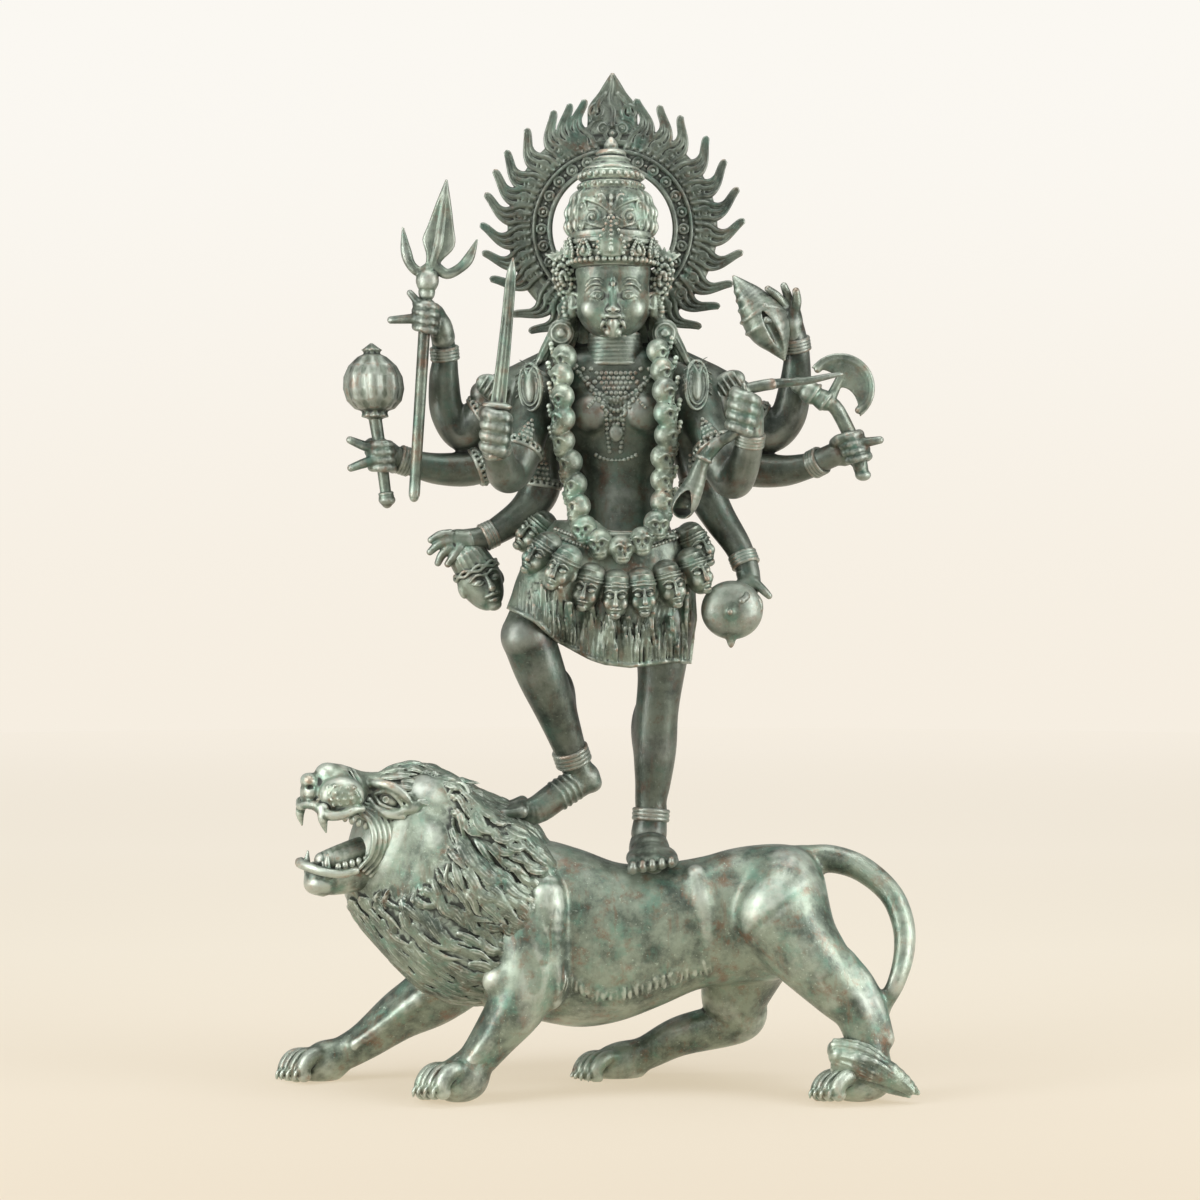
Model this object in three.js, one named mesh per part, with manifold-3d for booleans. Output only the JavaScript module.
// A cast bronze eight-armed goddess standing on a roaring lion, in front of a flaming aureole.
// Millimetres, +Z up, -Y towards the viewer, the floor at Z = 0.
import * as THREE from "three";
import { mergeVertices } from "three/addons/utils/BufferGeometryUtils.js";
import Module from "manifold-3d";

// Driving sizes, in mm.
const STATUE_HEIGHT = 900;
const CLEARANCE = 0.3;
const TRIDENT_ROD = 10.4;
const SWORD_GRIP = 9;
const MACE_HANDLE = 12;
const AXE_SHAFT = 13;
const BOW_GRIP = 10;
const AUREOLE_THICKNESS = 7;

// The figure is laid out on a front drawing, in parts of the statue's height, seen by an eye in front of it.
const PARTS_TALL = 1024;
const UNIT = STATUE_HEIGHT / PARTS_TALL;
const EYE_DISTANCE = 2400;
const EYE_HEIGHT = 488;
const EYE_ON_DRAWING = 501;

const wasm = await Module();
wasm.setup();

const BRONZE = { color: 0x5f6f5c, roughness: 0.45, metalness: 0.75 };
const WORN_BRONZE = { color: 0x7a6a50, roughness: 0.4, metalness: 0.8 };

// A point of the front drawing (x right, z up) at a depth y behind the drawing's plane, in mm.
function at(x, z, y = 0) {
  const away = 1 + y / EYE_DISTANCE;
  const height = EYE_HEIGHT + (z - EYE_ON_DRAWING) * away;
  return new THREE.Vector3(x * away, y, height).multiplyScalar(UNIT);
}

const radians = THREE.MathUtils.degToRad;

// A closed geometry as a solid for joining and cutting.
function solid(geometry) {
  const bare = geometry.clone();
  bare.deleteAttribute("normal");
  bare.deleteAttribute("uv");
  const merged = mergeVertices(bare, 1e-4);
  const triVerts = new Uint32Array(merged.index.array);
  const vertProperties = new Float32Array(merged.attributes.position.array);
  const made = new wasm.Manifold(new wasm.Mesh({ numProp: 3, vertProperties, triVerts }));
  if (made.volume() > 0) return made;
  const turned = triVerts.map((_, i) => triVerts[i - (i % 3) + 2 - (i % 3)]);
  return new wasm.Manifold(new wasm.Mesh({ numProp: 3, vertProperties, triVerts: turned }));
}

const join = (parts) => parts.flat(Infinity).reduce((all, part) => all.add(part));

// The squared distance of a point from the planes of the facets round it, as the ten terms of a quadric.
function planeTerms([a, b, c]) {
  const normal = new THREE.Vector3().crossVectors(b.clone().sub(a), c.clone().sub(a));
  const size = normal.length();
  if (size === 0) return new Array(10).fill(0);
  const { x, y, z } = normal.divideScalar(size);
  const d = -normal.dot(a);
  return [x * x, x * y, x * z, x * d, y * y, y * z, y * d, z * z, z * d, d * d].map((v) => v * size);
}

function strayed(q, { x, y, z }) {
  const square = q[0] * x * x + q[4] * y * y + q[7] * z * z;
  const mixed = q[1] * x * y + q[2] * x * z + q[5] * y * z + q[3] * x + q[6] * y + q[8] * z;
  return square + 2 * mixed + q[9];
}

// Where two points meet with the least straying: the quadric's lowest place, their middle or one of them.
function meeting(q, a, b) {
  const places = [a.clone(), b.clone(), a.clone().lerp(b, 0.5)];
  const matrix = new THREE.Matrix3().set(q[0], q[1], q[2], q[1], q[4], q[5], q[2], q[5], q[7]);
  if (Math.abs(matrix.determinant()) > 1e-3 * (q[0] + q[4] + q[7]) ** 3) {
    const lowest = new THREE.Vector3(-q[3], -q[6], -q[8]).applyMatrix3(matrix.invert());
    if (lowest.distanceTo(places[2]) < a.distanceTo(b)) places.push(lowest);
  }
  const costs = places.map((place) => strayed(q, place));
  const best = costs.indexOf(Math.min(...costs));
  return { place: places[best], cost: costs[best] + 1e-6 * a.distanceToSquared(b) };
}

// A queue that gives back the entry with the least cost first.
class Queue {
  entries = [];

  push(entry) {
    const e = this.entries;
    let i = e.push(entry) - 1;
    while (i > 0 && e[(i - 1) >> 1].cost > e[i].cost) {
      const up = (i - 1) >> 1;
      [e[i], e[up]] = [e[up], e[i]];
      i = up;
    }
  }

  pop() {
    const e = this.entries;
    const first = e[0];
    const last = e.pop();
    if (e.length === 0) return first;
    e[0] = last;
    let i = 0;
    for (;;) {
      let least = i;
      for (const child of [2 * i + 1, 2 * i + 2]) {
        if (child < e.length && e[child].cost < e[least].cost) least = child;
      }
      if (least === i) return first;
      [e[i], e[least]] = [e[least], e[i]];
      i = least;
    }
  }
}

// The same skin in fewer facets: edges close up one by one, those that move the surface least first.
function faceted(made, most) {
  const mesh = made.getMesh();
  const points = Array.from({ length: mesh.numVert }, (_, i) =>
    new THREE.Vector3().fromArray(mesh.vertProperties, i * mesh.numProp),
  );
  const faces = Array.from({ length: mesh.numTri }, (_, i) => [...mesh.triVerts.subarray(3 * i, 3 * i + 3)]);
  const round = points.map(() => new Set());
  const terms = points.map(() => new Array(10).fill(0));
  const changes = points.map(() => 0);
  faces.forEach((face, f) => {
    const plane = planeTerms(face.map((v) => points[v]));
    face.forEach((v) => {
      round[v].add(f);
      plane.forEach((value, i) => (terms[v][i] += value));
    });
  });
  const neighbours = (v) => new Set([...round[v]].flatMap((f) => faces[f]).filter((other) => other !== v));
  const queue = new Queue();
  const consider = (a, b) => {
    const both = terms[a].map((value, i) => value + terms[b][i]);
    queue.push({ a, b, stamp: changes[a] + changes[b], ...meeting(both, points[a], points[b]) });
  };
  const normal = (corners) =>
    new THREE.Vector3().crossVectors(corners[1].clone().sub(corners[0]), corners[2].clone().sub(corners[0]));
  const turnsOver = (v, other, place) =>
    [...round[v]].some((f) => {
      if (faces[f].includes(other)) return false;
      const before = normal(faces[f].map((i) => points[i]));
      const after = normal(faces[f].map((i) => (i === v ? place : points[i])));
      return before.dot(after) < 0.35 * before.length() * after.length() || after.length() < 1e-3;
    });
  points.forEach((_, a) => neighbours(a).forEach((b) => a < b && consider(a, b)));
  let left = faces.length;
  while (left > most && queue.entries.length) {
    const { a, b, stamp, place } = queue.pop();
    if (stamp !== changes[a] + changes[b] || !round[a].size || !round[b].size) continue;
    const near = neighbours(a);
    const shared = [...neighbours(b)].filter((v) => near.has(v));
    if (shared.length !== 2 || turnsOver(a, b, place) || turnsOver(b, a, place)) continue;
    points[a] = place;
    terms[b].forEach((value, i) => (terms[a][i] += value));
    for (const f of round[b]) {
      if (faces[f].includes(a)) {
        faces[f].forEach((v) => v !== b && round[v].delete(f));
        left--;
      } else {
        faces[f][faces[f].indexOf(b)] = a;
        round[a].add(f);
      }
    }
    round[b].clear();
    changes[a]++;
    changes[b]++;
    neighbours(a).forEach((v) => consider(a, v));
  }
  const kept = [...new Set(round.flatMap((set) => [...set]))];
  const geometry = new THREE.BufferGeometry().setFromPoints(points);
  geometry.setIndex(kept.flatMap((f) => faces[f]));
  return solid(geometry);
}

// A solid skin over rings of points, closed by a fan at each end.
function loft(rings, ends = []) {
  const count = rings[0].length;
  const points = rings.flat();
  const faces = [];
  for (let ring = 0; ring + 1 < rings.length; ring++) {
    for (let i = 0; i < count; i++) {
      const near = ring * count + i;
      const next = ring * count + ((i + 1) % count);
      faces.push(near, next, next + count, near, next + count, near + count);
    }
  }
  [0, rings.length - 1].forEach((ring, end) => {
    const middle = new THREE.Vector3();
    rings[ring].forEach((p) => middle.addScaledVector(p, 1 / count));
    points.push(ends[end] ?? middle);
    for (let i = 0; i < count; i++) {
      const near = ring * count + i;
      const next = ring * count + ((i + 1) % count);
      faces.push(...(end ? [near, next, points.length - 1] : [next, near, points.length - 1]));
    }
  });
  const geometry = new THREE.BufferGeometry().setFromPoints(points);
  geometry.setIndex(faces);
  return solid(geometry);
}

// A limb: a round tube through [x, z, y, radius] stations, with domed ends.
function limb(stations, { sides = 7, spans = 1, dome = 0.7, grow = 0 } = {}) {
  const curve = new THREE.CatmullRomCurve3(stations.map(([x, z, y]) => at(x, z, y)));
  const steps = (stations.length - 1) * spans;
  let across = new THREE.Vector3(0, 1, 0);
  const rings = [];
  const ends = [];
  for (let i = 0; i <= steps; i++) {
    const t = i / steps;
    const along = curve.getTangent(t).normalize();
    if (Math.abs(along.dot(across)) > 0.95) across.set(1, 0, 0);
    across = across.clone().addScaledVector(along, -along.dot(across)).normalize();
    const side = new THREE.Vector3().crossVectors(along, across);
    const station = Math.min(Math.floor(i / spans), stations.length - 2);
    const mix = i / spans - station;
    const radius = THREE.MathUtils.lerp(stations[station][3], stations[station + 1][3], mix) * UNIT + grow;
    const ring = (scale, shift) =>
      Array.from({ length: sides }, (_, j) => {
        const angle = (2 * Math.PI * j) / sides;
        return curve
          .getPoint(t)
          .addScaledVector(along, shift * radius)
          .addScaledVector(across, Math.cos(angle) * radius * scale)
          .addScaledVector(side, Math.sin(angle) * radius * scale);
      });
    const tip = (shift) => curve.getPoint(t).addScaledVector(along, shift * radius);
    if (i === 0) {
      rings.push(ring(0.7, -0.65 * dome));
      ends[0] = tip(-dome);
    }
    rings.push(ring(1, 0));
    if (i === steps) {
      rings.push(ring(0.7, 0.65 * dome));
      ends[1] = tip(dome);
    }
  }
  return loft(rings, ends);
}

// An egg with half sizes [x, z, y] about a point of the drawing, leaning in its plane by lean degrees.
function egg([x, z, y], [halfX, halfZ, halfY], { lean = 0, around = 7, rows = 5 } = {}) {
  const sphere = new THREE.SphereGeometry(1, around, rows);
  sphere.rotateX(Math.PI / 2);
  sphere.scale(halfX * UNIT, halfY * UNIT, halfZ * UNIT);
  sphere.rotateY(radians(lean));
  const centre = at(x, z, y);
  sphere.translate(centre.x, centre.y, centre.z);
  return solid(sphere);
}

// A turned or swelling body built of level rings [height, middle, half width, half depth, middle's depth].
function levels(rows, { sides = 16, ripple = 0, ripples = 0 } = {}) {
  const rings = rows.map(([z, x, halfX, halfY, y = 0]) =>
    Array.from({ length: sides }, (_, i) => {
      const angle = (2 * Math.PI * i) / sides;
      const swell = 1 + ripple * Math.cos(ripples * angle);
      return at(x + halfX * swell * Math.cos(angle), z, y + halfY * swell * Math.sin(angle));
    }),
  );
  return loft(rings);
}

// A string of beads along stations: a thin limb that swells at every other step.
function beads(stations, radius, pitch, sides = 5) {
  const curve = new THREE.CatmullRomCurve3(stations.map(([x, z, y]) => new THREE.Vector3(x, z, y)));
  const steps = 2 * Math.round(curve.getLength() / pitch);
  const row = Array.from({ length: steps + 1 }, (_, i) => {
    const p = curve.getPointAt(i / steps);
    return [p.x, p.y, p.z, i % 2 ? radius : radius * 0.55];
  });
  return limb(row, { sides });
}

// The rods that the fists hold, each [x, z, y] at two ends.
const TRIDENT_LINE = [[-186, 602, -16], [-172, 830, -16]];
const MACE_LINE = [[-213, 598, -8], [-226, 692, -8]];
const SWORD_LINE = [[-107, 646, -98], [-103, 694, -98]];
const AXE_DEPTH = -18;
const AXE_LINE = [[262, 628], [252, 655], [238, 690], [228, 699]].map((p) => [...p, AXE_DEPTH]);
const BOW_LINE = [[172, 717, -94], [146, 710, -97], [143, 690, -98], [136, 670, -97], [112, 655, -95]];

// The trident: a rod, a collar of mouldings, a leaf blade and two side prongs.
function trident(grow = 0) {
  const rod = TRIDENT_ROD / 2 / UNIT;
  const [foot, head] = TRIDENT_LINE;
  const along = (t) => head.map((v, i) => foot[i] + (v - foot[i]) * t);
  const shaft = limb([[...along(0), rod * 0.55], [...along(0.5), rod], [...along(1), rod * 1.1]], {
    sides: 8,
    grow,
  });
  if (grow) return shaft;
  const collar = limb(
    [0.9, 0.915, 0.93, 0.945, 0.96, 0.975].map((t, i) => [...along(t), rod * (i % 2 ? 1.9 : 1.35)]),
    { sides: 8, dome: 0.3 },
  );
  const blade = flatBlade(
    [
      [-171, 826, 6], [-166, 842, 8], [-161.5, 858, 16.5],
      [-159, 875, 13], [-156, 900, 7], [-153.5, 920, 1.2],
    ],
    -16,
    7,
  );
  const prong = (stations) =>
    limb([[-170, 836, -16, 5.5], ...stations.map(([x, z, radius]) => [x, z, -16, radius])], {
      sides: 6,
      spans: 2,
    });
  return join([
    shaft,
    collar,
    blade,
    prong([[-188, 836, 5], [-195, 850, 4.5], [-197, 873, 1.6]]),
    prong([[-145, 832, 5], [-130, 841, 4.5], [-123, 859, 1.6]]),
  ]);
}

// A double-edged blade with a raised spine, through [x, z, half width] stations.
function flatBlade(stations, y, halfThick) {
  const rings = stations.map(([x, z, half]) => {
    const thick = Math.min(halfThick, half) * 0.55;
    return [at(x - half, z, y), at(x, z, y - thick), at(x + half, z, y), at(x, z, y + thick)];
  });
  return loft(rings);
}

// The sword: a grip, a guard and a tapering blade that stands upright.
function sword(grow = 0) {
  const [foot, head] = SWORD_LINE;
  const grip = limb([[...foot, 3.5], [...head, SWORD_GRIP / 2 / UNIT]], { grow });
  if (grow) return grip;
  const guard = egg([-103, 695, -98], [15, 4.5, 8], { lean: 4, around: 8, rows: 4 });
  const blade = flatBlade(
    [[-102, 694, 8], [-98, 730, 7], [-93, 780, 6], [-89, 825, 5], [-87, 842, 0.8]],
    -98,
    5,
  );
  return join([grip, guard, blade]);
}

// The mace: a ribbed melon head with a bud on top, on a short handle with an end knob.
function mace(grow = 0) {
  const [foot, head] = MACE_LINE;
  const handle = limb([[...foot, MACE_HANDLE / 2.6 / UNIT], [...head, MACE_HANDLE / 2 / UNIT]], { grow });
  if (grow) return handle;
  const profile = [
    [684, 13], [688, 12], [692, 19], [700, 26], [712, 29], [724, 28],
    [735, 23], [744, 14], [749, 8], [753, 7], [758, 1],
  ];
  const melon = levels(
    profile.map(([z, half]) => [z, -226.5 - (z - 715) * 0.05, half, half, -8]),
    { sides: 24, ripple: 0.05, ripples: 8 },
  );
  return join([handle, melon, egg([-213, 600, -8], [8, 6, 8])]);
}

// The axe: a shaft, a ribbed finial and a crescent blade on its own neck.
function axe(grow = 0) {
  const shaft = limb(AXE_LINE.map((p) => [...p, AXE_SHAFT / 2 / UNIT]), { sides: 8, grow });
  if (grow) return shaft;
  const finial = limb(
    [[231, 698, 7], [223, 701, 11], [217, 705, 8], [211, 708, 12], [205, 712, 9], [198, 716, 10]].map(
      ([x, z, radius]) => [x, z, AXE_DEPTH, radius],
    ),
    { sides: 8 },
  );
  const neck = limb(
    [[228, 697, 6], [235, 712, 5], [242, 727, 4]].map(([x, z, radius]) => [x, z, AXE_DEPTH, radius]),
    { sides: 6 },
  );
  return join([shaft, finial, neck, crescent()]);
}

// The axe's blade: a crescent of constant thickness, sharp at its outer edge.
function crescent() {
  const centre = [240, 713];
  const outer = 35;
  const from = radians(145);
  const to = radians(-55);
  const rings = [];
  const steps = 14;
  for (let i = 0; i <= steps; i++) {
    const t = i / steps;
    const angle = from + (to - from) * t;
    const inner = outer * (1 - 1.05 * Math.sin(Math.PI * t) ** 0.8) - 0.5;
    const place = (radius, y) =>
      at(centre[0] + radius * Math.cos(angle), centre[1] + radius * Math.sin(angle), y);
    const root = Math.max(inner, 1.5);
    const middle = (outer + root) / 2;
    const section = [[outer, 0], [middle, -3.5], [root, -3], [root, 3], [middle, 3.5]];
    rings.push(section.map(([radius, y]) => place(radius, AXE_DEPTH + y)));
  }
  return loft(rings);
}

// The bow: a grip, a thin straight upper limb and a lower limb that flares at its end.
function bow(grow = 0) {
  const grip = BOW_GRIP / 2 / UNIT;
  const middle = limb(BOW_LINE.map((p) => [...p, grip]), { sides: 7, grow });
  if (grow) return middle;
  const upper = limb(
    [[146, 712, -96, 5], [172, 717, -92, 5], [205, 720, -84, 4], [230, 725, -78, 3], [242, 727, -75, 1.5]],
    { sides: 6 },
  );
  const lower = limb(
    [[118, 658, -95, 6.5], [103, 640, -93, 7], [95, 618, -92, 10], [87, 602, -91, 13], [83, 594, -91, 12]],
    { sides: 8, dome: 0.2 },
  );
  return join([middle, upper, lower]);
}

// The aureole: a moulded ring with rosettes, volutes, flames that curl up to the top, and a tang.
const AUREOLE = { x: 12.5, z: 872, y: 34, inner: 60, outer: 84, root: 97, tip: 132, crest: 156 };
const TANG_FOOT = 700;
const ROSETTES = 30;
const FLAMES_LEFT = [15.8, 22.5, 30.2, 44.3, 57.5, 67.4, 78.3, 91.8, 104.1, 116, 134.3, 144.8];
const FLAMES_RIGHT = [14.1, 24.7, 34.8, 49.4, 62.4, 75.9, 89.9, 103.9, 118.3, 129.7, 141.8];

function aureole() {
  const half = AUREOLE_THICKNESS / 2 / UNIT;
  const flame = (degrees, side) => {
    const points = [
      [-0.4, 3, 9], [0.05, 6, 9], [0.3, 7.5, 7.5], [0.55, 5, 5.5],
      [0.75, 0, 4.5], [0.9, -4.5, 3.4], [1, -9, 1.4],
    ];
    const rings = points.map(([share, lag, width]) => {
      const radius = THREE.MathUtils.lerp(AUREOLE.root, AUREOLE.tip, share);
      const angle = radians(degrees) + lag / radius;
      const turn = (shift, y) => {
        const a = side * (angle + shift / radius);
        return at(AUREOLE.x + radius * Math.sin(a), AUREOLE.z + radius * Math.cos(a), AUREOLE.y + y);
      };
      return [turn(-width, 0), turn(0, -half), turn(width, 0), turn(0, half)];
    });
    return loft(rings);
  };
  const crest = [[0, 26], [0.22, 25], [0.46, 24], [0.68, 14], [0.84, 8], [1, 1.5]].map(([share, width]) => {
    const z = AUREOLE.z + THREE.MathUtils.lerp(AUREOLE.root - 3, AUREOLE.crest, share);
    return [
      at(AUREOLE.x - width, z, AUREOLE.y),
      at(AUREOLE.x, z, AUREOLE.y - half),
      at(AUREOLE.x + width, z, AUREOLE.y),
      at(AUREOLE.x, z, AUREOLE.y + half),
    ];
  });
  const tangTop = AUREOLE.z - (AUREOLE.inner + AUREOLE.root) / 2;
  const tang = levels(
    [[tangTop, 20], [(tangTop + TANG_FOOT) / 2, 15], [TANG_FOOT, 11]].map(([z, wide]) => {
      return [z, AUREOLE.x, wide, half * 0.9, AUREOLE.y];
    }),
    { sides: 8 },
  );
  const rosettes = Array.from({ length: ROSETTES }, (_, i) => {
    const a = (2 * Math.PI * i) / ROSETTES;
    const radius = (AUREOLE.inner + AUREOLE.outer) / 2;
    const middle = [AUREOLE.x + radius * Math.sin(a), AUREOLE.z + radius * Math.cos(a), AUREOLE.y - half];
    return egg(middle, [5, 5, 2.5], { around: 6, rows: 3 });
  });
  return join([
    ring(),
    FLAMES_LEFT.map((a) => flame(a, -1)),
    FLAMES_RIGHT.map((a) => flame(a, 1)),
    loft(crest),
    rosettes,
    tang,
  ]);
}

// The aureole's band: a moulded profile, raised at both rims, turned about the ring's middle.
function ring() {
  const half = AUREOLE_THICKNESS / 2 / UNIT;
  const profile = [
    [AUREOLE.inner, -half], [AUREOLE.inner + 3, -half - 2], [AUREOLE.inner + 6, -half + 1],
    [AUREOLE.outer - 6, -half + 1], [AUREOLE.outer - 3, -half - 2], [AUREOLE.outer, -half],
    [AUREOLE.root, -half + 1.5], [AUREOLE.root, half], [AUREOLE.inner, half],
  ];
  const steps = 48;
  const faces = [];
  const points = [];
  for (let i = 0; i < steps; i++) {
    const a = (2 * Math.PI * i) / steps;
    profile.forEach(([r, y], j) => {
      points.push(at(AUREOLE.x + r * Math.sin(a), AUREOLE.z + r * Math.cos(a), AUREOLE.y + y));
      const near = i * profile.length + j;
      const next = i * profile.length + ((j + 1) % profile.length);
      const beyond = (v) => (v + profile.length) % (steps * profile.length);
      faces.push(near, next, beyond(next), near, beyond(next), beyond(near));
    });
  }
  const geometry = new THREE.BufferGeometry().setFromPoints(points);
  geometry.setIndex(faces);
  return solid(geometry);
}

// A closed hand round a rod: a palm behind it and four fingers curled over it.
function fist([x, z, y], lean, palmTo, rod, size = 1) {
  const axis = new THREE.Vector3(Math.sin(radians(lean)), 0, Math.cos(radians(lean)));
  const palm = new THREE.Vector3(...palmTo);
  palm.addScaledVector(axis, -palm.dot(axis)).normalize();
  const side = new THREE.Vector3().crossVectors(axis, palm);
  const middle = at(x, z, y);
  const finger = 5.2 * size;
  const place = (along, angle, reach) => {
    const p = middle
      .clone()
      .addScaledVector(axis, along * UNIT)
      .addScaledVector(palm, Math.cos(angle) * reach * UNIT)
      .addScaledVector(side, Math.sin(angle) * reach * UNIT);
    return fromSpace(p);
  };
  const reach = rod / 2 / UNIT + finger * 0.8;
  const spacing = finger * 1.75;
  const fingers = [-1.5, -0.5, 0.5, 1.5].map((step) => {
    const arc = [40, 110, 180, 250].map((a) => [...place(step * spacing, radians(a), reach), finger]);
    return limb(arc, { sides: 5 });
  });
  const heel = place(0, 0, reach + 3);
  return [fingers, egg(heel, [10 * size, 13 * size, 11 * size], { lean, around: 7, rows: 5 })];
}

// A point in space as its place on the front drawing.
function fromSpace(p) {
  const y = p.y / UNIT;
  const away = 1 + y / EYE_DISTANCE;
  return [p.x / UNIT / away, EYE_ON_DRAWING + (p.z / UNIT - EYE_HEIGHT) / away, y];
}

const straightFinger = (from, to, radius = 5) =>
  limb([[...from, radius * 1.1], [...to, radius * 0.8]], { sides: 5 });

// The eight arms: stations from the shoulder to the wrist, with armlets and bangles as swellings.
const ARMS = {
  tridentArm: [
    [-70, 712, 10, 24], [-105, 694, 18, 20], [-120, 684, 20, 23], [-138, 668, 22, 18], [-153, 690, 18, 17],
    [-156, 722, 12, 15], [-155, 742, 8, 12], [-156, 751, 6, 15.5], [-157, 760, 4, 12], [-160, 775, -4, 12],
  ],
  maceArm: [
    [-65, 690, 14, 22], [-95, 655, 24, 20], [-125, 634, 22, 18], [-160, 632, 14, 16],
    [-188, 638, 6, 13], [-194, 640, 4, 16], [-201, 642, 2, 12], [-212, 646, -2, 12],
  ],
  swordArm: [
    [-62, 705, -8, 24], [-72, 672, -22, 21], [-82, 645, -34, 22], [-90, 628, -46, 20],
    [-97, 630, -64, 17], [-101, 645, -78, 16], [-104, 656, -87, 13], [-105, 668, -89, 12],
  ],
  headArm: [
    [-55, 690, 6, 22], [-58, 645, 14, 19], [-60, 612, 14, 20], [-75, 590, 8, 17], [-100, 572, 0, 14],
    [-110, 567, -3, 16], [-118, 563, -5, 12], [-135, 560, -8, 12],
  ],
  conchArm: [
    [105, 712, 10, 24], [140, 690, 18, 20], [158, 678, 20, 23], [172, 668, 20, 19], [188, 685, 18, 18],
    [195, 715, 14, 16], [197, 745, 9, 13], [196, 754, 7, 16], [195, 763, 5, 12], [191, 778, 2, 12],
  ],
  axeArm: [
    [90, 690, 14, 22], [118, 655, 24, 20], [145, 634, 22, 18], [180, 630, 14, 16],
    [208, 635, 4, 13], [215, 638, 0, 16], [222, 641, -4, 12], [238, 648, -9, 12],
  ],
  bowArm: [
    [95, 702, -8, 24], [106, 675, -20, 21], [120, 645, -36, 23], [132, 622, -50, 20],
    [141, 630, -66, 17], [147, 648, -80, 16], [150, 662, -88, 13], [152, 680, -92, 12],
  ],
  bowlArm: [
    [78, 690, 6, 22], [90, 650, 14, 19], [102, 616, 14, 20], [118, 585, 8, 17], [137, 556, 0, 14],
    [143, 544, -4, 16], [147, 533, -7, 12], [150, 518, -12, 11],
  ],
};

function hands() {
  return [
    fist([-174, 784, -16], 3, [0.8, 0.9, -0.3], TRIDENT_ROD),
    straightFinger([-182, 784, -14], [-209, 781, -12]),
    straightFinger([-178, 792, -14], [-190, 806, -14], 4),
    fist([-219, 645, -8], -8, [0.7, 0.9, 0.2], MACE_HANDLE),
    straightFinger([-230, 652, -12], [-250, 661, -14]),
    straightFinger([-228, 641, -12], [-249, 634, -14]),
    fist([-105, 668, -98], 5, [0.1, 1, 0], SWORD_GRIP, 1.1),
    egg([-148, 560, -10], [16, 10, 11], { lean: 20 }),
    straightFinger([-150, 564, -12], [-167, 561, -14], 4),
    straightFinger([-152, 556, -12], [-168, 546, -14], 4),
    egg([190, 784, -4], [13, 17, 10], { lean: -10 }),
    straightFinger([188, 795, -4], [183, 813, -6], 4.5),
    straightFinger([182, 796, -6], [167, 812, -8], 4.5),
    straightFinger([194, 793, -4], [195, 806, -4], 4.5),
    fist([253, 652, AXE_DEPTH], -22, [-0.9, 0.8, 0], AXE_SHAFT),
    straightFinger([260, 658, -20], [279, 660, -22]),
    straightFinger([258, 646, -12], [260, 632, -10], 6),
    fist([142, 688, -98], 10, [0.5, 1, 0], BOW_GRIP, 1.15),
    egg([147, 514, -16], [15, 13, 9], { lean: 30 }),
    straightFinger([152, 520, -20], [165, 508, -24], 4.5),
  ];
}

const NECK_AND_TORSO = [
  [545, 18, 62, 44], [570, 17, 56, 40], [600, 17, 43, 32], [625, 17, 42, 31], [655, 18, 50, 33],
  [690, 18, 60, 36], [715, 18, 62, 34], [730, 17, 46, 29], [736, 16, 43, 28], [741, 16, 33, 24],
  [746, 16, 35, 25], [751, 15, 26, 22], [756, 15, 28, 23], [761, 15, 22, 20], [778, 13, 21, 19],
];

const CROWN = [
  [832, 10, 36, 34], [838, 10, 41, 36], [848, 10, 43, 36], [855, 10, 41, 35], [866, 10, 42, 35],
  [873, 10, 46, 36], [888, 10, 45, 35], [902, 10, 41, 33], [911, 10, 31, 30], [918, 10, 29, 28],
  [924, 10, 31, 30], [931, 10, 29, 28], [937, 10, 20, 20], [947, 10, 15, 15], [951, 10, 8, 8],
  [958, 10, 6, 6], [964, 10, 1, 1],
].map((row) => [...row, -12]);

function headAndCrown() {
  const face = [
    egg([11, 800, -8], [36, 38, 36], { around: 14, rows: 10 }),
    egg([10, 785, -18], [27, 23, 22], { around: 10, rows: 7 }),
    limb([[9, 812, -42, 3], [9, 800, -46, 4], [9, 792, -49, 5.5]], { sides: 5 }),
    egg([9, 784, -42], [13, 4, 5], { around: 7, rows: 4 }),
    egg([9, 773, -42], [6, 10, 4], { around: 6, rows: 4 }),
  ];
  [-5, 24].forEach((x) => {
    face.push(egg([x, 805, -37], [9, 4.5, 5], { around: 8, rows: 4 }));
    face.push(egg([x, 814, -35], [12, 2.6, 6], { around: 7, rows: 3 }));
  });
  [-1, 1].forEach((side) => {
    const x = 12 + side * 50;
    face.push(egg([12 + side * 42, 798, -4], [10, 15, 12], { around: 7, rows: 5 }));
    face.push(egg([x, 812, -2], [12, 18, 12], { around: 7, rows: 5 }));
    face.push(egg([x, 770, -6], [14, 15, 8], { around: 8, rows: 5 }));
    const hair = [[12 + side * 36, 800, 12, 14], [x, 770, 12, 14], [12 + side * 62, 748, 8, 10]];
    face.push(limb(hair, { sides: 6 }));
  });
  const peaks = [-60, -30, 0, 30, 60].map((degrees) => {
    const a = radians(degrees);
    return egg([10 + 40 * Math.sin(a), 866, -12 - 34 * Math.cos(a)], [9, 18, 7], { around: 6, rows: 4 });
  });
  return [face, levels(CROWN, { sides: 16 }), peaks];
}

// Severed heads hung round the hips: fronts by place, and a plainer row round the back.
const HIP_HEADS = [
  [-63, 562], [-58, 541], [-38, 530], [-12, 508], [15, 500], [42, 503], [70, 512], [92, 525], [97, 552],
];

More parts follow.
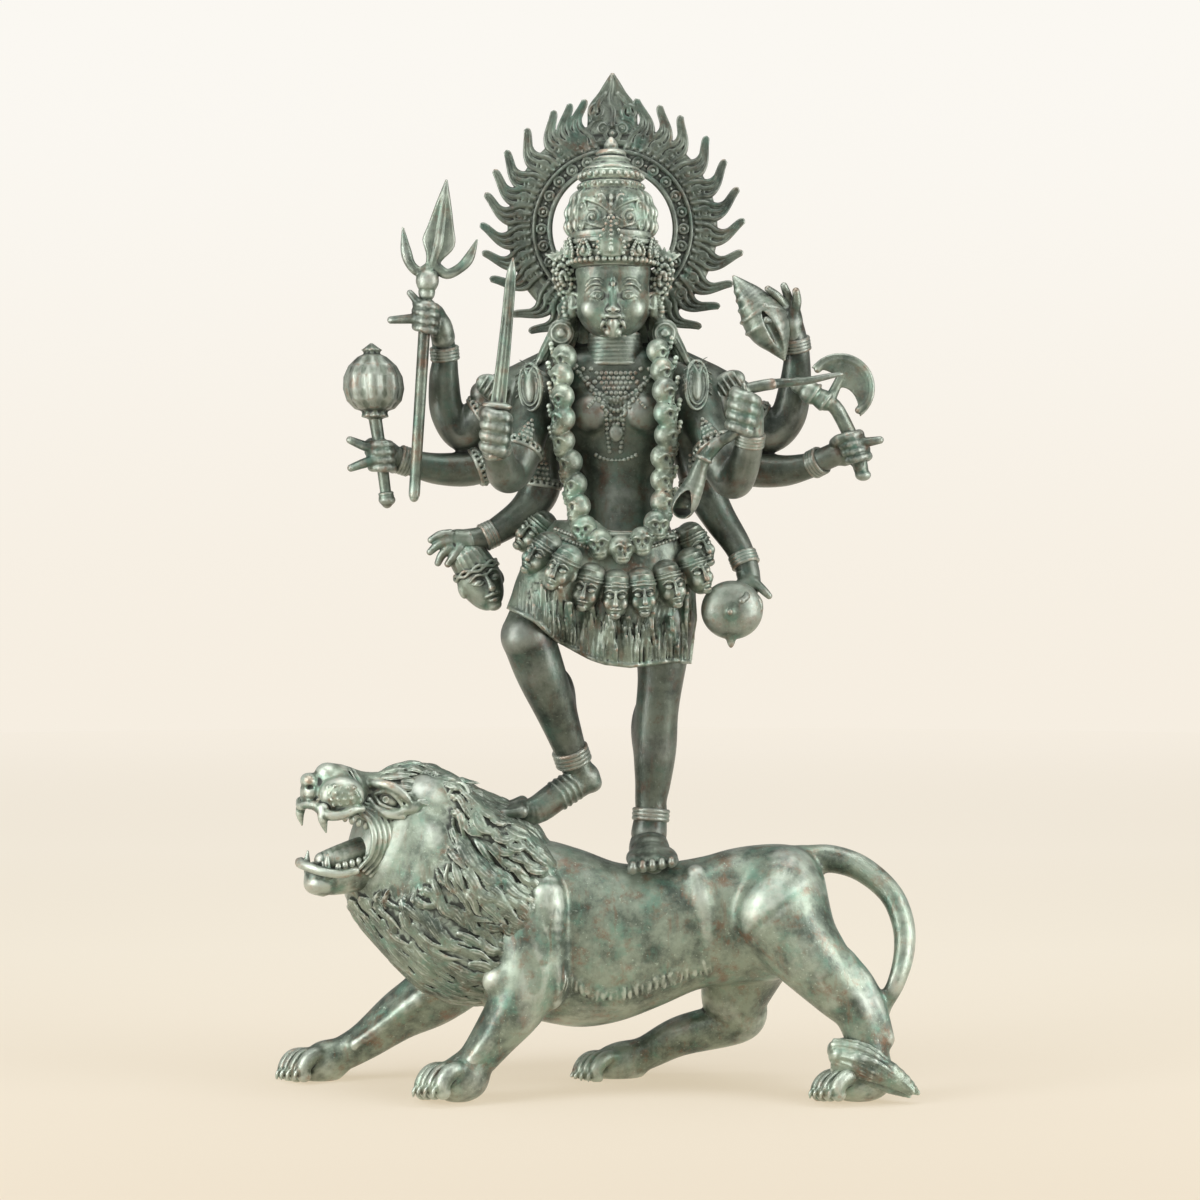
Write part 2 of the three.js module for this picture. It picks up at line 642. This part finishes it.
function hipHeads() {
  const fronts = HIP_HEADS.map(([x, z], i) => {
    const out = Math.min(Math.abs(x - 18) / 88, 1);
    const y = -60 * Math.sqrt(1 - out ** 2) + 4;
    return [egg([x, z, y], [16, 21, 15], { lean: (4 - i) * 7, around: 8, rows: 6 }), faceOn([x, z, y - 14])];
  });
  const backs = [25, 55, 85, 115, 145].map((degrees) => {
    const a = radians(degrees);
    return egg([18 + 80 * Math.cos(a), 540, 46 * Math.sin(a)], [15, 19, 13], { around: 7, rows: 5 });
  });
  return [fronts, backs];
}

// A nose and brow that make a face of a small head.
function faceOn([x, z, y]) {
  return limb([[x, z + 6, y + 2, 2], [x, z - 3, y - 1, 3]], { sides: 4 });
}

const GARLAND = [
  [-35, 742, -24], [-38, 725, -32], [-36, 705, -42], [-36, 685, -44], [-36, 662, -40], [-29, 640, -38],
  [-24, 615, -38], [-21, 590, -42], [-14, 568, -46], [8, 553, -52], [28, 553, -52],
  [50, 566, -48], [61, 588, -42], [62, 612, -38], [62, 636, -38], [66, 660, -40],
  [66, 685, -44], [64, 708, -42], [62, 728, -32], [58, 748, -22],
];

function skullGarland() {
  const curve = new THREE.CatmullRomCurve3(GARLAND.map(([x, z, y]) => new THREE.Vector3(x, z, y)));
  const count = 25;
  const skulls = Array.from({ length: count }, (_, i) => {
    const p = curve.getPointAt(i / (count - 1));
    return egg([p.x, p.y, p.z], [12.5, 13, 10], { around: 6, rows: 4 });
  });
  const string = limb(GARLAND.map((p) => [...p, 7]), { sides: 4 });
  return [skulls, string];
}

// The short skirt: its edges in the drawing at four heights, fluted more towards the hem.
const SKIRT = {
  left: [-48, -68, -80, -90],
  right: [84, 96, 95, 90],
  zLeft: [566, 545, 518, 490],
  zRight: [560, 520, 478, 436],
};

function skirt() {
  const sides = 48;
  const row = (level) =>
    Array.from({ length: sides }, (_, i) => {
      const angle = (2 * Math.PI * i) / sides;
      const share = (1 + Math.cos(angle)) / 2;
      const flute = 1 + 0.018 * level * Math.cos(12 * angle);
      const middle = (SKIRT.left[level] + SKIRT.right[level]) / 2;
      const half = ((SKIRT.right[level] - SKIRT.left[level]) / 2) * flute;
      const sag = level * 5 * Math.sin(Math.PI * share);
      const z = THREE.MathUtils.lerp(SKIRT.zLeft[level], SKIRT.zRight[level], share) - sag;
      const depth = [42, 51, 55, 54][level] * flute;
      return at(middle + half * Math.cos(angle), z, depth * Math.sin(angle));
    });
  const inside = row(3).map((p) => p.clone().lerp(at(10, 480, 0), 0.12));
  return loft([row(0), row(1), row(2), row(3), inside], [at(18, 566), at(15, 500)]);
}

function legs() {
  const straight = limb([
    [64, 480, -5, 31], [61, 427, -6, 24], [57, 390, -4, 21.5], [55, 353, 0, 22], [53, 315, 3, 17.5],
    [51, 299, 4, 16], [51, 293, 4, 18.5], [51, 287, 4, 15.5], [49, 272, 4, 18],
  ], { sides: 9 });
  const thigh = limb([[-10, 545, -5, 42], [-48, 505, -28, 38], [-72, 466, -48, 28]], { sides: 9 });
  const shin = limb([
    [-72, 464, -49, 27], [-60, 430, -42, 25], [-44, 390, -28, 20.5], [-34, 362, -18, 17.5],
    [-29, 350, -13, 15.5], [-27, 342, -10, 17.5], [-24, 334, -8, 16], [-16, 322, -4, 15],
  ], { sides: 9 });
  return [straight, thigh, shin, standingFoot(), steppingFoot()];
}

// The standing foot points at the viewer: upright rings from heel to ball, then five toes.
function standingFoot() {
  const rows = [
    [24, 47, 248, 12, 18], [8, 48, 254, 20, 26], [-12, 50, 252, 24, 24],
    [-30, 52, 243, 27, 17], [-40, 54, 236, 27, 12],
  ];
  const rings = rows.map(([y, x, z, halfX, halfZ]) =>
    Array.from({ length: 10 }, (_, i) => {
      const a = (2 * Math.PI * i) / 10;
      return at(x + halfX * Math.cos(a), z + halfZ * Math.sin(a), y);
    }),
  );
  const toes = [0, 1, 2, 3, 4].map((i) => {
    const x = 34 + i * 10;
    const tip = [x, 231 + i * 1.2, -53 + i, 6.5 - i * 0.5];
    return limb([[x, 238 + i * 0.6, -36, 7.5 - i * 0.4], tip], { sides: 5 });
  });
  return [loft(rings), toes];
}

// The stepping foot lies along the mane, heel up and toes to the left.
function steppingFoot() {
  const sole = limb([[-14, 322, -2, 15], [-42, 306, -14, 16], [-66, 290, -22, 15], [-84, 291, -26, 10]], {
    sides: 8,
  });
  const toes = [0, 1, 2, 3, 4].map((i) =>
    limb([[-80, 287 + i * 2.5, -38 + i * 7, 6.5], [-97, 291 + i * 1.5, -40 + i * 7.5, 5]], { sides: 5 }),
  );
  return [sole, toes];
}

// What the hands hold that is cast in one with them: conch, severed head and bowl.
function castHoldings() {
  const conch = limb(
    [[184, 742, 2], [176, 760, 13], [166, 778, 22], [154, 798, 16], [143, 812, 9], [134, 823, 2]].map(
      ([x, z, radius]) => [x, z, -12, radius],
    ),
    { sides: 9 },
  );
  const severed = [
    egg([-122, 513, -8], [26, 33, 24], { lean: -12, around: 10, rows: 8 }),
    limb([[-148, 562, -10, 6], [-142, 548, -10, 10], [-132, 532, -10, 22]], { sides: 7 }),
    faceOn([-120, 512, -31]),
  ];
  const bowl = [
    egg([132, 491, -26], [31, 30, 20], { around: 14, rows: 10 }),
    egg([130, 490, -46], [6, 6, 4], { around: 6, rows: 4 }),
    limb([[131, 466, -26, 7], [131, 459, -26, 2]], { sides: 6 }),
  ];
  return [conch, severed, bowl];
}

function jewellery() {
  return [
    beads([[-24, 735, -27], [-8, 700, -42], [14, 680, -42], [38, 700, -42], [54, 735, -27]], 5, 9),
    beads([[-52, 574, -30], [-20, 552, -50], [20, 544, -54], [60, 548, -46], [84, 558, -20]], 5, 10),
    egg([16, 668, -40], [8, 10, 5], { around: 6, rows: 4 }),
    egg([-70, 716, -18], [17, 25, 9], { lean: -8, around: 9, rows: 5 }),
    egg([97, 716, -20], [17, 27, 9], { lean: 6, around: 9, rows: 5 }),
    egg([-108, 716, 6], [15, 12, 9], { lean: 30, around: 8, rows: 4 }),
    egg([128, 722, 6], [15, 12, 9], { lean: -30, around: 8, rows: 4 }),
    limb([[-45, 738, 8, 14], [-80, 724, 8, 14], [-118, 708, 12, 10]], { sides: 7 }),
    limb([[70, 742, 8, 14], [105, 730, 8, 14], [140, 712, 12, 10]], { sides: 7 }),
  ];
}

function body() {
  return [
    levels(NECK_AND_TORSO, { sides: 16 }),
    limb([[-95, 712, 8, 18], [-50, 728, 4, 22], [15, 736, 0, 24], [80, 728, 4, 22], [120, 712, 8, 18]], {
      sides: 8,
    }),
    egg([-8, 688, -26], [22, 21, 20], { around: 10, rows: 7 }),
    egg([41, 688, -26], [22, 21, 20], { around: 10, rows: 7 }),
    egg([12, 714, 26], [26, 24, 22], { around: 10, rows: 6 }),
  ];
}

function goddess() {
  return join([
    body(),
    Object.values(ARMS).map((stations) => limb(stations)),
    hands(),
    headAndCrown(),
    skullGarland(),
    jewellery(),
    skirt(),
    hipHeads(),
    legs(),
    castHoldings(),
  ]);
}

// The lion's body: upright rings [x, top, bottom, half width], squarer than an ellipse.
const TRUNK = [
  [-165, 225, 110, 48], [-150, 240, 108, 56], [-110, 262, 92, 60], [-60, 262, 80, 64], [-20, 252, 74, 62],
  [20, 238, 80, 58], [60, 238, 95, 54], [100, 244, 112, 50], [140, 254, 118, 50], [180, 257, 122, 52],
  [205, 251, 140, 46], [222, 232, 168, 28],
];

function trunk() {
  const sides = 16;
  const power = 2 / 2.5;
  const rings = TRUNK.map(([x, top, bottom, half]) =>
    Array.from({ length: sides }, (_, i) => {
      const a = (2 * Math.PI * i) / sides;
      const across = Math.sign(Math.cos(a)) * Math.abs(Math.cos(a)) ** power;
      const up = Math.sign(Math.sin(a)) * Math.abs(Math.sin(a)) ** power;
      return at(x, (top + bottom) / 2 + ((top - bottom) / 2) * up, half * across);
    }),
  );
  return loft(rings);
}

const LION_LEGS = {
  nearHind: [
    [178, 185, -34, 50], [210, 145, -48, 38], [238, 112, -55, 29],
    [255, 88, -58, 24], [267, 58, -60, 22], [273, 30, -60, 22],
  ],
  farHind: [
    [160, 165, 36, 44], [135, 108, 50, 34], [138, 82, 56, 24],
    [80, 65, 58, 20], [45, 48, 60, 17], [12, 38, 60, 16],
  ],
  nearFront: [
    [-75, 180, -36, 48], [-72, 130, -50, 38], [-82, 98, -57, 31],
    [-105, 65, -60, 24], [-128, 38, -62, 20], [-145, 22, -63, 19],
  ],
  farFront: [
    [-130, 145, 30, 44], [-165, 108, 44, 32], [-200, 86, 46, 24],
    [-235, 62, 46, 19], [-262, 45, 45, 17], [-282, 36, 44, 16],
  ],
};

// A paw: a pad under the ankle and four toes in front of it, [x, z, y] and half sizes.
function paw([x, z, y], [halfX, halfZ, halfY]) {
  const toes = [-1.5, -0.5, 0.5, 1.5].map((step) => {
    const across = y + (step * halfY) / 2.1;
    const front = x - halfX * (0.95 - 0.08 * Math.abs(step));
    const root = [x - halfX * 0.3, z + halfZ * 0.25, across, halfZ * 0.55];
    return limb([root, [front, z - halfZ * 0.3, across, halfZ * 0.52]], { sides: 6 });
  });
  return [egg([x, z, y], [halfX, halfZ, halfY], { around: 9, rows: 6 }), toes];
}

// The mane's slanted rings: [top x, top z, bottom x, bottom z, half width, how far the sides sweep back].
const MANE = [
  [-212, 320, -238, 212, 44, 30], [-196, 335, -250, 196, 54, 36], [-166, 336, -236, 172, 66, 36],
  [-140, 322, -210, 140, 76, 34], [-115, 309, -182, 112, 79, 30], [-90, 299, -150, 98, 76, 24],
  [-66, 278, -122, 96, 68, 18], [-48, 252, -100, 104, 54, 10],
];

function mane() {
  const lobes = 15;
  const onRing = ([topX, topZ, lowX, lowZ, across, sweep], a, swell = 1) => {
    const share = (1 + Math.sin(a) * swell) / 2;
    const x = THREE.MathUtils.lerp(lowX, topX, share) + sweep * Math.abs(Math.cos(a)) ** 1.5;
    return [x, THREE.MathUtils.lerp(lowZ, topZ, share), -6 + across * Math.cos(a) * swell];
  };
  const rings = MANE.map((row, s) =>
    Array.from({ length: lobes * 2 }, (_, i) => {
      const a = (Math.PI * (i + s * 0.35)) / lobes;
      return at(...onRing(row, a, i % 2 ? 1.03 : 0.95));
    }),
  );
  const lockTips = [5, 6, 7].flatMap((s) =>
    Array.from({ length: 14 }, (_, i) => {
      const a = (2 * Math.PI * (i + s / 2)) / 14;
      const [x, z, y] = onRing(MANE[s], a, 0.97);
      const low = Math.max(0, -Math.sin(a));
      const tip = [x + 20 - 8 * low, z - 16, y * 0.94, 2];
      return limb([[x - 26, z + 12, y, 11], [x, z, y, 11], tip], { sides: 5 });
    }),
  );
  return [loft(rings), lockTips];
}

function lionHead() {
  const teeth = [[-296, 281, -50], [-286, 276, -62], [-273, 273, -56]].map(([x, z, y]) =>
    limb([[x, z + 10, y, 4.5], [x - 1, z - 4, y, 0.8]], { sides: 5 }),
  );
  const lowTeeth = [[-290, 235, -50], [-279, 236, -60], [-268, 238, -54]].map(([x, z, y]) =>
    limb([[x, z - 8, y, 4.5], [x, z + 5, y, 0.8]], { sides: 5 }),
  );
  return [
    egg([-200, 276, -16], [52, 48, 46], { around: 12, rows: 8 }),
    egg([-192, 258, -44], [32, 34, 26], { around: 9, rows: 6 }),
    limb([[-222, 302, -30, 31], [-258, 308, -42, 27], [-282, 305, -50, 21]], { sides: 9 }),
    limb([[-212, 246, -20, 27], [-250, 226, -38, 20], [-281, 221, -50, 17]], { sides: 8 }),
    egg([-278, 213, -50], [15, 13, 15], { around: 8, rows: 5 }),
    egg([-294, 320, -54], [10, 8, 14], { lean: 20, around: 8, rows: 5 }),
    egg([-290, 293, -44], [13, 12, 22], { around: 8, rows: 5 }),
    egg([-216, 299, -58], [9, 7, 6], { around: 7, rows: 4 }),
    limb([[-238, 312, -56, 8], [-216, 319, -54, 9], [-192, 318, -44, 7]], { sides: 6 }),
    egg([-238, 330, -30], [20, 12, 20], { around: 8, rows: 5 }),
    limb([[-236, 248, -36, 9], [-262, 249, -42, 9], [-276, 246, -46, 4]], { sides: 6 }),
    limb([[-228, 290, -54, 8], [-220, 268, -56, 9], [-226, 246, -52, 8]], { sides: 6 }),
    egg([-146, 306, -44], [18, 15, 10], { lean: 20, around: 8, rows: 5 }),
    egg([-170, 312, 28], [15, 14, 10], { around: 8, rows: 5 }),
    teeth,
    lowTeeth,
  ];
}

function lionTrim() {
  const fringe = Array.from({ length: 13 }, (_, i) => {
    const x = -48 + i * 13;
    const z = 112 - 12 * Math.sin((i / 12) * Math.PI * 0.7) + Math.max(0, i - 6) * 3.4;
    return limb([[x, z + 16, -40, 11], [x + 6, z + 2, -42, 10], [x + 14, z - 14, -34, 2]], { sides: 5 });
  });
  const tail = limb([
    [205, 240, 8, 16], [232, 242, 4, 14], [262, 232, -6, 13], [290, 208, -20, 11], [303, 178, -34, 11],
    [304, 148, -46, 10], [295, 118, -54, 8], [283, 95, -60, 6],
  ], { sides: 8 });
  const tuft = limb([[262, 46, -62, 18], [290, 34, -62, 14], [316, 12, -62, 4]], { sides: 7 });
  return [fringe, tail, tuft];
}

function lion() {
  return join([
    trunk(),
    mane(),
    lionHead(),
    Object.values(LION_LEGS).map((stations) => limb(stations, { sides: 9 })),
    egg([178, 190, -26], [48, 40, 32], { around: 12, rows: 8 }),
    limb([[-52, 205, -46, 12], [-52, 160, -56, 14], [-46, 112, -50, 12]], { sides: 7 }),
    egg([-86, 178, -32], [44, 52, 34], { around: 9, rows: 6 }),
    egg([-120, 160, 28], [44, 50, 32], { around: 9, rows: 6 }),
    paw([-146, 18, -64], [34, 24, 27]),
    paw([-286, 38, 46], [30, 21, 24]),
    paw([268, 14, -62], [44, 20, 26]),
    paw([12, 36, 60], [34, 20, 22]),
    lionTrim(),
  ]);
}

// What stands on the floor is cut off level with it.
function onFloor(piece) {
  const ground = new THREE.BoxGeometry(STATUE_HEIGHT, STATUE_HEIGHT, STATUE_HEIGHT);
  ground.translate(0, 0, -STATUE_HEIGHT / 2);
  return piece.subtract(solid(ground));
}

// A seat for a piece that stands on another: the lower piece, moved a clearance each way, is cut from it.
function seatOn(upper, lower) {
  const ways = [[0, 0, 1], [1, 0, 1], [-1, 0, 1], [0, 1, 1], [0, -1, 1], [0, 0, 0]];
  return ways.reduce((cut, way) => cut.subtract(lower.translate(way.map((v) => v * CLEARANCE))), upper);
}

function named(name, made, look) {
  const { vertProperties, numProp, triVerts } = made.getMesh();
  const count = vertProperties.length / numProp;
  const places = new Float32Array(count * 3);
  for (let i = 0; i < count; i++) {
    places.set(vertProperties.subarray(i * numProp, i * numProp + 3), i * 3);
  }
  const geometry = new THREE.BufferGeometry();
  geometry.setAttribute("position", new THREE.BufferAttribute(places, 3));
  geometry.setIndex(new THREE.BufferAttribute(new Uint32Array(triVerts), 1));
  geometry.computeVertexNormals();
  const mesh = new THREE.Mesh(geometry, new THREE.MeshStandardMaterial(look));
  mesh.name = name;
  return mesh;
}

// How many facets each piece is drawn with.
const FACETS = {
  lion: 2600,
  goddess: 3700,
  halo: 1350,
  trident: 250,
  sword: 90,
  mace: 300,
  axe: 240,
  bow: 150,
};

const beast = onFloor(faceted(lion(), FACETS.lion));
const halo = faceted(aureole(), FACETS.halo);
const rods = [trident, sword, mace, axe, bow].map((piece) => piece(2 * CLEARANCE));
const seated = seatOn(faceted(goddess(), FACETS.goddess), beast);
const figure = [...rods, halo].reduce((cut, other) => cut.subtract(other), seated);

const group = new THREE.Group();
group.add(
  named("lion", beast, BRONZE),
  named("goddess", figure, BRONZE),
  named("halo", halo, BRONZE),
  named("trident", faceted(trident(), FACETS.trident), BRONZE),
  named("sword", faceted(sword(), FACETS.sword), WORN_BRONZE),
  named("mace", faceted(mace(), FACETS.mace), BRONZE),
  named("axe", faceted(axe(), FACETS.axe), BRONZE),
  named("bow", faceted(bow(), FACETS.bow), BRONZE),
);

// The origin is the middle of the ground that the piece takes up.
const reach = new THREE.Box3().setFromObject(group);
const middle = reach.getCenter(new THREE.Vector3());
group.position.set(-middle.x, -middle.y, -reach.min.z);

export default group;
